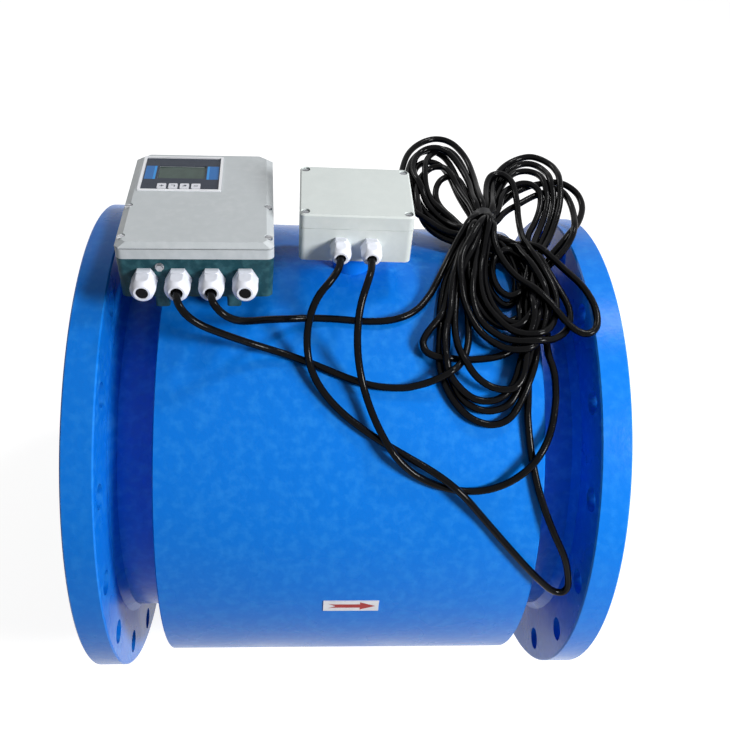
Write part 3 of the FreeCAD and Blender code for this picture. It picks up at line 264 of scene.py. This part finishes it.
def smooth_path(keys, step):
    """Evenly spaced points on a smooth curve through the key points."""
    points_a_span = 12
    key = np.array(keys, float)
    key = np.vstack([2 * key[0] - key[1], key, 2 * key[-1] - key[-2]])
    t = np.linspace(0, 1, points_a_span, endpoint=False)[:, None]
    spans = []
    for a, b, c, d in zip(key, key[1:], key[2:], key[3:]):
        spans.append(0.5 * (2 * b + (c - a) * t + (2 * a - 5 * b + 4 * c - d) * t ** 2
                            + (3 * b - a - 3 * c + d) * t ** 3))
    curve = np.vstack(spans + [key[-2][None]])
    along = np.r_[0, np.cumsum(np.linalg.norm(np.diff(curve[:, :2], axis=0), axis=1))]
    even = np.linspace(0, along[-1], int(round(along[-1] / step)) + 1)
    return np.stack([np.interp(even, along, column) for column in curve.T], -1)


def near_pairs(points, reach, apart):
    """Pairs of points within reach of each other that are more than apart steps away."""
    size = (points * points).sum(1)
    squared = size[:, None] + size[None, :] - 2 * points @ points.T
    first, second = np.nonzero(np.triu(squared < reach * reach, apart + 1))
    return first, second, np.sqrt(np.maximum(0, squared[first, second]))


def stack(layout, ends):
    """First heights: each turn lies over the ones laid before it, pressed well together."""
    press = 3.4
    under = layout[:, 3] > 0.5
    count = len(layout)
    rank = np.arange(count) - under * count
    first, second, gap = near_pairs(layout[:, :2], press, 7)
    rise_over = np.sqrt(np.maximum(0, press * press - gap * gap))
    over = np.where(rank[first] > rank[second], first, second)
    below = np.where(rank[first] > rank[second], second, first)
    base = np.maximum(lowest(layout[:, 0]), layout[:, 2])
    height = base.copy()
    for _ in range(60):
        needed = base.copy()
        np.maximum.at(needed, over, height[below] + rise_over)
        for _ in range(4):
            mean = height.copy()
            mean[1:-1] = (height[:-2] + height[2:]) / 2
            mean[ends] = height[ends]
            mean[layout[:, 3] > 0.3] = 0
            height = np.maximum(needed, mean)
    held = layout[ends, 2]
    height[ends] = held
    for _ in range(12):
        height[1:-1] = height[1:-1] * 0.5 + (height[:-2] + height[2:]) * 0.25
        height[ends] = held
    return height


def tighten(points, tied):
    """Pulls the strands that go through the tie into its oval."""
    across = (points[tied][:, [0, 2]] - (TIE[0], TIE[2])) / TIE_OVAL
    reach = np.linalg.norm(across, axis=1)
    pull = np.where(reach > 1, (1 / np.maximum(reach, 1) - 1), 0)[:, None] * across
    points[tied, 0] += 0.5 * pull[:, 0] * TIE_OVAL[0]
    points[tied, 2] += 0.5 * pull[:, 1] * TIE_OVAL[1]


def out_of_box(points, low, high):
    """Moves points that are in the junction box out of it by its right, its back or below."""
    room = CABLE_D / 2 + 0.4
    low, high = np.array(low) - room, np.array(high) + room
    for i in np.nonzero(((points > low) & (points < high)).all(1))[0]:
        ways = [high[0] - points[i, 0], high[1] - points[i, 1], points[i, 2] - low[2]]
        way = int(np.argmin(ways))
        points[i, way] += ways[way] if way < 2 else -ways[way]


def settle(start, ends, tied):
    """Lets the turns push each other apart, sink onto the housing and stay smooth."""
    box_low, box_high = [np.array(p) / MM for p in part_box("junction_box_base")]
    box_high[2] += 20
    points = start.copy()
    before_tie = ((np.abs(start[:, 0] - TIE[0]) < BEFORE_TIE[0])
                  & (np.abs(start[:, 1] - BEFORE_TIE_S) < BEFORE_TIE[1]))
    for turn in range(ROUNDS):
        moved = points - start
        mean = moved.copy()
        mean[1:-1] = (moved[:-2] + moved[2:]) / 2
        mean[ends] = moved[ends]
        points = start + (moved + mean) * 0.5 * 0.98
        if turn < ROUNDS * 0.85:
            points -= height_and_normal(points)[1] * SINK
        if turn < ROUNDS * 0.7:
            points[before_tie, 2] -= DRAW_DOWN
        if turn % 6 == 0:
            first, second, _ = near_pairs(points, SPACING + 4, 5)
        for _ in range(3):
            push_apart(points, first, second)
            tighten(points, tied)
            height, normal = height_and_normal(points)
            points += normal * np.maximum(0, lowest(points[:, 0]) - height)[:, None]
            out_of_box(points, box_low, box_high)
        points[ends] = start[ends]
    return points


def push_apart(points, first, second):
    """Moves each pair that is too near apart, by part of what is missing."""
    between = points[second] - points[first]
    gap = np.linalg.norm(between, axis=1) + 1e-6
    close = gap < SPACING
    i, j = first[close], second[close]
    push = between[close] / gap[close, None] * ((SPACING - gap[close]) * 0.3)[:, None]
    total = np.zeros_like(points)
    times = np.zeros(len(points))
    np.add.at(total, i, -push)
    np.add.at(total, j, push)
    np.add.at(times, i, 1)
    np.add.at(times, j, 1)
    points += total / np.maximum(1, times * 0.5)[:, None]


def hank():
    """The turns of both cables, as control points from the last points of their tails."""
    starts = [SIGNAL_FROM_BOX[-TAIL_ENDS:], SUPPLY_FROM_BOX[-TAIL_ENDS:]]
    finishes = [SIGNAL_FROM_CONVERTER[:-TAIL_ENDS - 1:-1],
                SUPPLY_FROM_CONVERTER[:-TAIL_ENDS - 1:-1]]
    paths = [smooth_path(tail_keys(start) + turn_keys(names) + tail_keys(finish), STEP)
             for start, names, finish in zip(starts, (SIGNAL_TURNS, SUPPLY_TURNS), finishes)]
    layout = np.vstack(paths)
    split = len(paths[0])
    ends = np.array([0, split - 1, split, len(layout) - 1])
    start = sheet_to_space(layout[:, 0], layout[:, 1], stack(layout, ends))
    tied = np.nonzero((np.abs(layout[:, 0] - TIE[0]) < TIE_CATCHES[0])
                      & (np.abs(layout[:, 1] + TIE[1]) < TIE_CATCHES[1])
                      & (layout[:, 3] < 0.3))[0]
    points = settle(start, ends, tied)
    return [every_few(points[:split]), every_few(points[split:])]


def every_few(points):
    """Evenly picked points with both ends among them, as control points."""
    count = int(round((len(points) - 1) / POINTS_APART)) + 1
    picks = np.linspace(0, len(points) - 1, count).round().astype(int)
    return [tuple(points[i]) for i in picks]


def cord_curve(name, points, material):
    """One cord as one open spline through control points in millimetres."""
    data = bpy.data.curves.new(name, "CURVE")
    data.dimensions = "3D"
    data.bevel_depth = CABLE_D / 2 * MM
    data.bevel_resolution = 5
    data.resolution_u = 5
    data.use_fill_caps = True
    spline = data.splines.new("NURBS")
    spline.points.add(len(points) - 1)
    for spot, (x, y, z) in zip(spline.points, points):
        spot.co = (x * MM, y * MM, z * MM, 1)
    spline.order_u = 3
    spline.use_endpoint_u = True
    piece = bpy.data.objects.new(name, data)
    data.materials.append(material)
    bpy.context.collection.objects.link(piece)
    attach(piece, BODY)
    return piece


def cables(material):
    """Both cables, each from its junction box gland through the hank to its converter gland."""
    signal_turns, supply_turns = hank()
    signal = cord_curve("signal_cable", SIGNAL_FROM_BOX[:-TAIL_ENDS] + signal_turns
                        + SIGNAL_FROM_CONVERTER[-TAIL_ENDS - 1::-1], material)
    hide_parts("signal_cable_at_box", "signal_cable_at_converter", "cable_hank")
    supply = cord_curve("supply_cable", SUPPLY_FROM_BOX[:-TAIL_ENDS] + supply_turns
                        + SUPPLY_FROM_CONVERTER[-TAIL_ENDS - 1::-1], material)
    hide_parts("supply_cable_at_box", "supply_cable_at_converter")


# --- materials --------------------------------------------------------------------------------
BLACK = [0, 0, 0, 1]
WHITE = [1, 1, 1, 1]
CONVERTER_AT = (0.1214, 0.0211, 0.2784)       # in metres
CONVERTER_YAW = 2.2
CONVERTER_PITCH = -6.8


def linear(colour):
    """A colour of three bytes in linear light."""
    return [((c / 255 + 0.055) / 1.055) ** 2.4 if c > 10.3 else c / 255 / 12.92
            for c in colour] + [1]


class Surface:
    """A node material: a mottled colour with its own roughness and fine grain in the bump.

    Sizes are in metres, colours in bytes.
    """

    def __init__(self, name, colour, rough=0.4, metal=0.0, mottle=0.1, mottle_size=0.04,
                 grain=0.15, grain_size=0.0012, rough_spread=0.08, gloss=0.3):
        self.material = bpy.data.materials.new(name)
        self.material.use_nodes = True
        self.nodes = self.material.node_tree.nodes
        self.links = self.material.node_tree.links
        self.shader = self.nodes["Principled BSDF"]
        self.shader.inputs["Metallic"].default_value = metal
        self.shader.inputs["Specular IOR Level"].default_value = gloss
        self.place = self.nodes.new("ShaderNodeTexCoord").outputs["Object"]
        dark = [c * (1 - mottle) for c in linear(colour)[:3]] + [1]
        light = [min(1, c * (1 + mottle)) for c in linear(colour)[:3]] + [1]
        self.colour = self.ramp(self.noise(mottle_size, 4), (0.35, dark), (0.65, light))
        self.links.new(self.colour, self.shader.inputs["Base Color"])
        low, high = max(0.02, rough - rough_spread), min(1, rough + rough_spread)
        rough_map = self.ramp(self.noise(mottle_size * 0.4, 3), (0.3, [low] * 3 + [1]),
                              (0.7, [high] * 3 + [1]))
        self.links.new(rough_map, self.shader.inputs["Roughness"])
        bump = self.nodes.new("ShaderNodeBump")
        bump.inputs["Strength"].default_value = grain
        bump.inputs["Distance"].default_value = grain_size * 0.5
        self.links.new(self.noise(grain_size, 2), bump.inputs["Height"])
        self.links.new(bump.outputs["Normal"], self.shader.inputs["Normal"])

    def noise(self, size, detail):
        node = self.nodes.new("ShaderNodeTexNoise")
        node.inputs["Scale"].default_value = 1 / size
        node.inputs["Detail"].default_value = detail
        self.links.new(self.place, node.inputs["Vector"])
        return node.outputs["Fac"]

    def ramp(self, factor, *stops):
        """A blend between two stops, each a position and a colour."""
        node = self.nodes.new("ShaderNodeValToRGB")
        for stop, (at, colour) in zip(node.color_ramp.elements, stops):
            stop.position = at
            stop.color = colour
        self.links.new(factor, node.inputs["Fac"])
        return node.outputs["Color"]

    def math(self, operation, a, b):
        node = self.nodes.new("ShaderNodeMath")
        node.operation = operation
        for socket, value in zip(node.inputs, (a, b)):
            if isinstance(value, (int, float)):
                socket.default_value = value
            else:
                self.links.new(value, socket)
        return node.outputs["Value"]

    def mix(self, factor, a, b):
        node = self.nodes.new("ShaderNodeMix")
        node.data_type = "RGBA"
        self.links.new(factor, node.inputs[0])
        for socket, value in ((node.inputs[6], a), (node.inputs[7], b)):
            if isinstance(value, list):
                socket.default_value = value
            else:
                self.links.new(value, socket)
        return node.outputs[2]

    def paint_over(self, factor, colour):
        """Lays another colour over the first where factor is one."""
        self.colour = self.mix(factor, self.colour, colour)
        self.links.new(self.colour, self.shader.inputs["Base Color"])

    def paint_edge_highlight(self, amount, colour):
        """Painted highlight: lighter edges, in patches, found from the shape's own convexity."""
        patch_size = 0.0096
        edge = self.nodes.new("ShaderNodeNewGeometry").outputs["Pointiness"]
        sharp = self.ramp(edge, (0.52, BLACK), (0.60, WHITE))
        patches = self.ramp(self.noise(patch_size, 5), (0.45, BLACK), (0.7, [amount] * 3 + [1]))
        edge_highlight = self.math("MULTIPLY", sharp, patches)
        self.paint_over(edge_highlight, colour)
        return self


def housing_paint():
    paint = Surface("housing_paint", (10, 118, 220), rough=0.27, mottle=0.012,
                    mottle_size=0.2, grain=0.08, grain_size=0.006, rough_spread=0.05,
                    gloss=0.13)
    # the lighter blue on the housing's edges is a painted highlight
    return paint.paint_edge_highlight(0.5, linear((60, 160, 240))).material


def cover_paint():
    paint = Surface("cover_paint", (190, 196, 199), rough=0.42, mottle=0.015,
                    mottle_size=0.03, grain=0.25, grain_size=0.0009)
    # the lighter grey on the cover's edges is a painted highlight
    return paint.paint_edge_highlight(0.4, linear((214, 217, 220))).material


def cable_sheath():
    sheath = Surface("cable_sheath", (7, 7, 9), rough=0.13, mottle=0.3,
                     mottle_size=0.01, grain=0.12, grain_size=0.0016, rough_spread=0.06,
                     gloss=0.08)
    return sheath.material


def display_label(place):
    """A dark panel with two blue fields beside the display window."""
    label = Surface("label_plastic", (50, 57, 70), rough=0.35, mottle=0.06,
                    mottle_size=0.006, grain=0.1, grain_size=0.0005, gloss=0.08)
    x, y = place(label)
    fields = ((-61.5, -50, -52.4, -50), (4, 16.5, 4, 6.4))
    field_rows = in_band(label, y, 36.5, 69)
    for x0, x1, edge0, edge1 in fields:
        label.paint_over(label.math("MULTIPLY", in_band(label, x, x0, x1), field_rows),
                         linear((52, 112, 178)))
        label.paint_over(label.math("MULTIPLY", in_band(label, x, edge0, edge1), field_rows),
                         linear((60, 150, 226)))
    return label.material


def key_face(place):
    """A pale key cap with a small plain sign in the middle of each of the four."""
    face = Surface("key_plastic", (222, 224, 232), rough=0.36, mottle=0.04,
                   mottle_size=0.004, grain=0.1, grain_size=0.0005)
    cross = ((-43.6, -39.2, 19.2, 20.4), (-42, -40.8, 17.6, 22))
    corner = ((-31.8, -27.6, 20.8, 22), (-28.8, -27.6, 17.4, 22))
    step = ((-19.8, -15.8, 18.6, 20), (-18.4, -15.8, 20, 22.2))
    two_bars = ((-8.2, -3.8, 20.4, 21.4), (-8.2, -3.8, 18.2, 19.2))
    x, y = place(face)
    for x0, x1, y0, y1 in cross + corner + step + two_bars:
        face.paint_over(face.math("MULTIPLY", in_band(face, x, x0, x1),
                                  in_band(face, y, y0, y1)), linear((72, 78, 92)))
    return face.material


def in_band(surface, value, low, high):
    """One where the value in metres lies between two limits in millimetres."""
    return surface.math("MULTIPLY", surface.math("GREATER_THAN", value, low * MM),
                        surface.math("LESS_THAN", value, high * MM))


def converter_axes(surface):
    """The converter's own x and y, from its place and turn on the housing."""
    node = surface.nodes.new("ShaderNodeMapping")
    node.vector_type = "TEXTURE"
    node.inputs["Location"].default_value = CONVERTER_AT
    turn = (Matrix.Rotation(math.radians(CONVERTER_YAW), 3, "Z")
            @ Matrix.Rotation(math.radians(CONVERTER_PITCH), 3, "X"))
    node.inputs["Rotation"].default_value = turn.to_euler()
    surface.links.new(surface.place, node.inputs["Vector"])
    split = surface.nodes.new("ShaderNodeSeparateXYZ")
    surface.links.new(node.outputs["Vector"], split.inputs["Vector"])
    return split.outputs["X"], split.outputs["Y"]


def materials(frame):
    """The record's material slots, each with its node material, put on their pieces."""
    made = {
        "housing_paint": housing_paint(),
        "liner_rubber": Surface("liner_rubber", (32, 32, 34), rough=0.6, gloss=0.15, mottle=0.2,
                                grain=0.3).material,
        "coil_tape": Surface("coil_tape", (214, 206, 176), rough=0.7, grain=0.5,
                             grain_size=0.0015).material,
        "steel": Surface("steel", (168, 170, 174), rough=0.32, metal=1.0, mottle=0.12,
                         mottle_size=0.008, grain=0.3, grain_size=0.0006).material,
        "electrode_steel": Surface("electrode_steel", (190, 190, 194), rough=0.18, metal=1.0,
                                   mottle=0.06, grain=0.1).material,
        "insulator": Surface("insulator", (228, 226, 216), rough=0.5, mottle=0.04).material,
        # the box plastic's lighter edges are a painted highlight
        "box_plastic": Surface("box_plastic", (212, 219, 217), rough=0.4, mottle=0.015,
                               mottle_size=0.025, grain=0.16, grain_size=0.0011)
        .paint_edge_highlight(0.3, linear((230, 234, 232))).material,
        "gland_plastic": Surface("gland_plastic", (232, 235, 245), rough=0.42, mottle=0.035,
                                 mottle_size=0.008, grain=0.12, grain_size=0.0008).material,
        "seal_rubber": Surface("seal_rubber", (16, 16, 18), rough=0.65, gloss=0.1, mottle=0.25,
                               mottle_size=0.006, grain=0.3).material,
        "plug_plastic": Surface("plug_plastic", (14, 14, 17), rough=0.5, gloss=0.1, mottle=0.2,
                                mottle_size=0.006).material,
        # the base paint's lighter green edges are a painted highlight
        "base_paint": Surface("base_paint", (26, 66, 76), rough=0.38, gloss=0.15, mottle=0.12,
                              mottle_size=0.02, grain=0.3, grain_size=0.0012)
        .paint_edge_highlight(0.5, linear((70, 116, 124))).material,
        "cover_paint": cover_paint(),
        "trim_metal": Surface("trim_metal", (232, 234, 238), rough=0.35, metal=0.2, mottle=0.02,
                              grain=0.04, grain_size=0.0008).material,
        "label_plastic": display_label(converter_axes),
        "display_plastic": Surface("display_plastic", (62, 80, 74), rough=0.12, mottle=0.14,
                                   mottle_size=0.012, grain=0.03, gloss=0.12).material,
        "key_plastic": key_face(converter_axes),
        "board": Surface("board", (26, 96, 54), rough=0.35, mottle=0.12,
                         mottle_size=0.008).material,
        "terminal_plastic": Surface("terminal_plastic", (40, 120, 74), rough=0.45,
                                    mottle=0.08).material,
        "plate_metal": Surface("plate_metal", (214, 214, 219), rough=0.35, metal=0.25,
                               mottle=0.05, mottle_size=0.012, grain=0.12).material,
        "cable_sheath": cable_sheath(),
        "tie_plastic": Surface("tie_plastic", (24, 25, 28), rough=0.35, gloss=0.2, mottle=0.2,
                               mottle_size=0.004, grain=0.2).material,
    }
    for part in frame["record"]["subparts"]:
        piece = frame["nodes"][part["node"]]
        piece.data.materials.clear()
        piece.data.materials.append(made[part["material_slot"]])
    return made


# --- mark -------------------------------------------------------------------------------------
def flow_arrow():
    """The red arrow painted on its plate, pointing downstream, with a notched tail."""
    low, high = [np.array(p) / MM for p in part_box("flow_arrow_plate")]
    middle = (low[0] + high[0]) / 2
    level = (low[2] + high[2]) / 2
    radius = HOUSING_R + 0.95
    corners = [(-24.2, 3.6), (-16.6, 0), (-24.2, -3.6), (-19, -2.9), (9.7, -2.9), (9.2, -6.4),
               (26.1, 0), (9.2, 6.4), (9.7, 2.9), (-19, 2.9)]
    faces = [(0, 1, 9), (1, 2, 3), (1, 3, 4, 8, 9), (4, 5, 6), (4, 6, 8), (6, 7, 8)]

    def on_plate(u, v):
        z = level + v
        return ((middle + u) * MM, -math.sqrt(radius ** 2 - z ** 2) * MM, z * MM)

    red = Surface("arrow_red", (166, 38, 36), rough=0.4, mottle=0.08, mottle_size=0.006)
    mesh = bpy.data.meshes.new("flow_arrow")
    mesh.from_pydata([on_plate(u, v) for u, v in corners], [], faces)
    mesh.materials.append(red.material)
    arrow = bpy.data.objects.new("flow_arrow", mesh)
    bpy.context.collection.objects.link(arrow)
    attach(arrow, BODY)


# --- studio -----------------------------------------------------------------------------------
FLOOR_Z = -0.2825             # in metres, as all lengths of the studio
FLOOR_REACH = 6
FLOOR_GREY = 0.45
FLOOR_GLOW = 0.87             # where the floor is seen or mirrored
WORLD_LIGHT = 0.13            # what the world lights with


def studio():
    """A pale floor, a pale world and three soft lamps."""
    mesh = bpy.data.meshes.new("floor")
    mesh.from_pydata([(x * FLOOR_REACH, y * FLOOR_REACH, FLOOR_Z)
                      for x, y in ((-1, -1), (1, -1), (1, 1), (-1, 1))], [], [(0, 1, 2, 3)])
    floor = bpy.data.objects.new("floor", mesh)
    bpy.context.collection.objects.link(floor)
    pale = bpy.data.materials.new("floor")
    pale.use_nodes = True
    nodes, links = pale.node_tree.nodes, pale.node_tree.links
    shader = nodes["Principled BSDF"]
    shader.inputs["Base Color"].default_value = (FLOOR_GREY, FLOOR_GREY, FLOOR_GREY, 1)
    shader.inputs["Roughness"].default_value = 1
    shader.inputs["Specular IOR Level"].default_value = 0
    shader.inputs["Emission Color"].default_value = (1, 1, 1, 1)
    links.new(seen_strength(pale.node_tree, 0, FLOOR_GLOW), shader.inputs["Emission Strength"])
    mesh.materials.append(pale)

    world = bpy.data.worlds.new("studio")
    bpy.context.scene.world = world
    world.use_nodes = True
    back = world.node_tree.nodes["Background"]
    back.inputs["Color"].default_value = (1.0, 1.0, 1.0, 1)
    world.node_tree.links.new(seen_strength(world.node_tree, WORLD_LIGHT, 1),
                              back.inputs["Strength"])
    lamp("window", (1.75, -1.15, 1.2), (0.3, 0, 0.1), 0.5, 50)
    lamp("ceiling", (1.2, 0.45, 2.1), (0.28, 0, 0), 0.3, 14)
    lamp("far_window", (-0.9, 1.7, 1.3), (0.28, 0, 0), 0.5, 8)


def seen_strength(tree, hidden, seen):
    """A strength of one value where it is seen or mirrored, and another where it only lights."""
    path = tree.nodes.new("ShaderNodeLightPath")
    any_ray = path.outputs["Is Camera Ray"]
    for ray in ("Is Glossy Ray", "Is Transmission Ray"):
        node = tree.nodes.new("ShaderNodeMath")
        node.operation = "MAXIMUM"
        tree.links.new(any_ray, node.inputs[0])
        tree.links.new(path.outputs[ray], node.inputs[1])
        any_ray = node.outputs["Value"]
    level = tree.nodes.new("ShaderNodeMapRange")
    level.inputs["To Min"].default_value = hidden
    level.inputs["To Max"].default_value = seen
    tree.links.new(any_ray, level.inputs["Value"])
    return level.outputs["Result"]


def lamp(name, spot, target, size, power):
    """A square lamp at a spot that shines towards a target."""
    data = bpy.data.lights.new(name, "AREA")
    data.size = size
    data.energy = power
    light = bpy.data.objects.new(name, data)
    light.location = spot
    light.rotation_euler = (Vector(target) - Vector(spot)).to_track_quat("-Z", "Y").to_euler()
    bpy.context.collection.objects.link(light)


# --- build ------------------------------------------------------------------------------------
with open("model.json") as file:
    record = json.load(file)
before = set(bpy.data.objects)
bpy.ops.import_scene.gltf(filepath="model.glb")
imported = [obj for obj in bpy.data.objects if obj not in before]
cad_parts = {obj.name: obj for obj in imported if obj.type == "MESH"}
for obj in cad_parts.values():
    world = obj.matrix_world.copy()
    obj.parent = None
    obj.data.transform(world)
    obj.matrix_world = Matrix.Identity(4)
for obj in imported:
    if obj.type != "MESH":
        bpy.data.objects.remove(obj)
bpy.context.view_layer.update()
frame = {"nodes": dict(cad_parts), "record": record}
camera()
made = materials(frame)
cables(made["cable_sheath"])
flow_arrow()
studio()
bpy.context.scene.view_settings.view_transform = "Standard"
